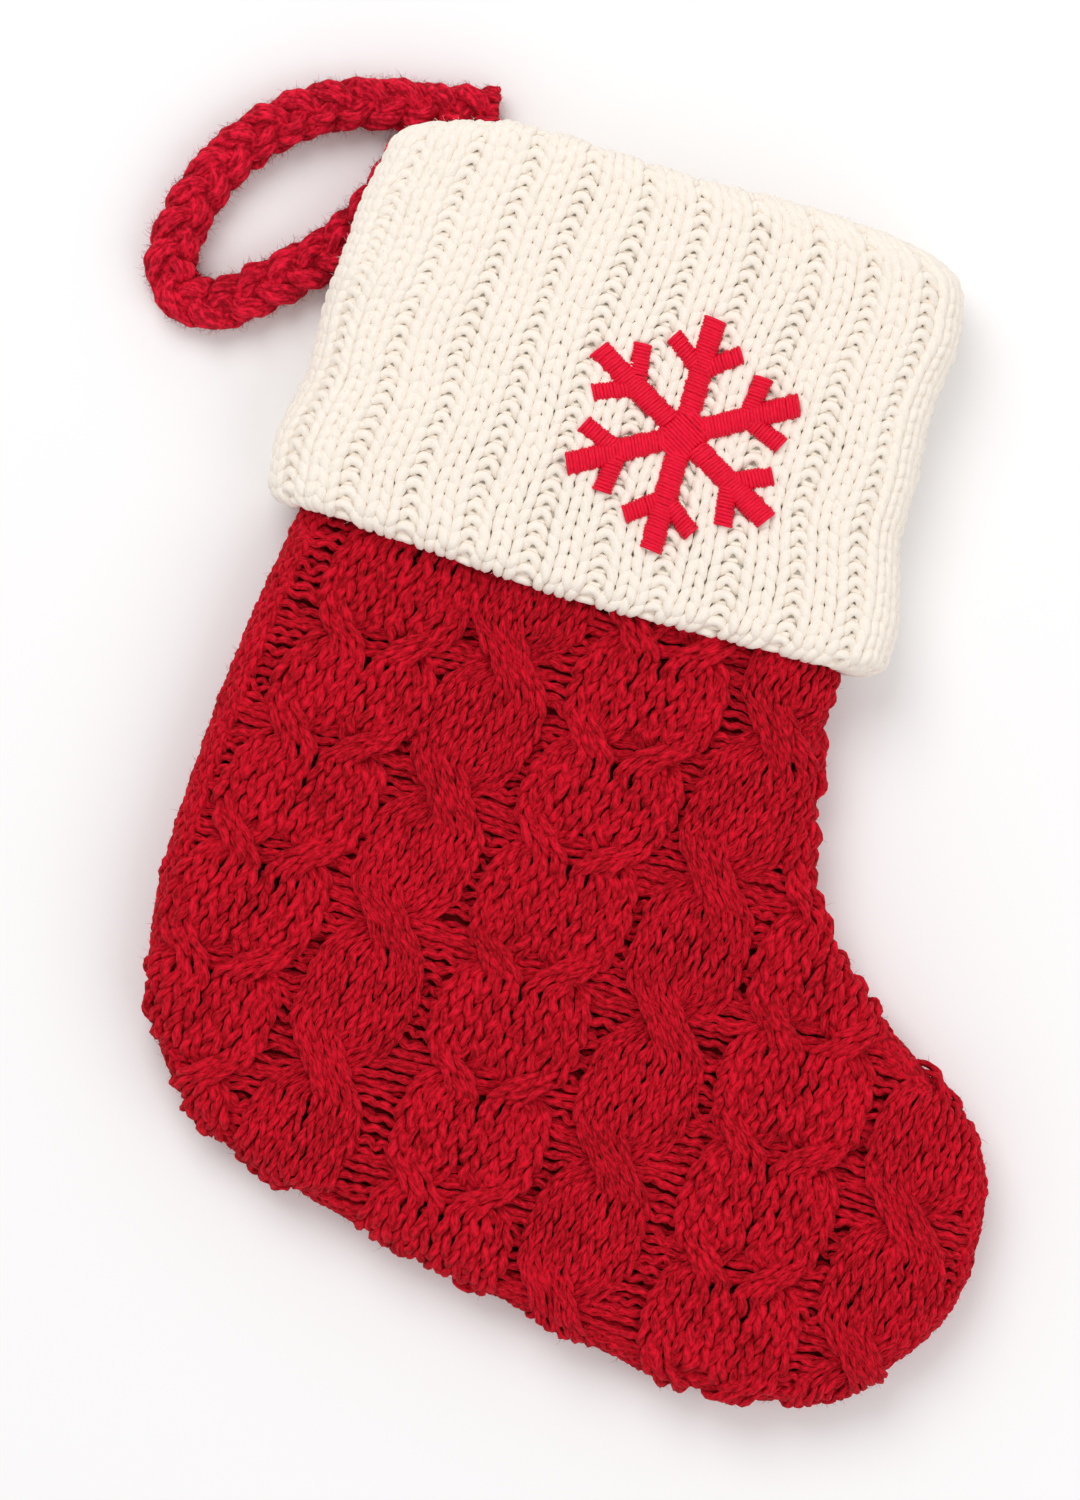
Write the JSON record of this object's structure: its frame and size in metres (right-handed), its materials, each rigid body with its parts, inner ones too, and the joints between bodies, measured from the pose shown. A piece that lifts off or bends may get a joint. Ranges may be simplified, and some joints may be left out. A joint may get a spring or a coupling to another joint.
{
  "type": "hanging stocking",
  "caption": "Cable-knit hanging stocking with a folded rib cuff, a satin-stitch snowflake and a plaited cord loop at the mouth's back corner.",
  "frame": {"origin": "centre of the stocking's footprint as it lies on its back, on the surface it lies on, without the cord", "axes": "+X to the toe, +Y to the mouth and the hanging end, +Z out of the front face"},
  "size_m": [0.2137, 0.2402, 0.0256],
  "materials": {
    "red_yarn": "fuzzy knitted acrylic yarn",
    "cream_yarn": "fuzzy knitted acrylic yarn",
    "red_cord": "plaited yarn",
    "satin_thread": "satin embroidery thread"
  },
  "bodies": {
    "stocking": {"boot_front_panel": "red_yarn", "boot_back_panel": "red_yarn", "boot_edge_seam": "red_yarn", "cuff_front_panel": "cream_yarn", "cuff_back_panel": "cream_yarn", "cuff_side_seam_left": "cream_yarn", "cuff_side_seam_right": "cream_yarn", "cuff_join_seam": "cream_yarn", "loop_end": "red_cord", "loop_tack_stitches": "red_cord", "snowflake_hub": "satin_thread", "snowflake_spoke_1": "satin_thread", "snowflake_spoke_2": "satin_thread", "snowflake_spoke_3": "satin_thread", "snowflake_spoke_4": "satin_thread", "snowflake_spoke_5": "satin_thread", "snowflake_spoke_6": "satin_thread"},
    "loop": {"hanging_loop": "red_cord"}
  },
  "joints": [
    {"name": "loop_swing", "type": "hinge", "parent": "stocking", "child": "loop", "pos_m": [-0.077, 0.116, 0.005], "axis": [0, 0, 1], "range_deg": [-95, 0]}
  ]
}
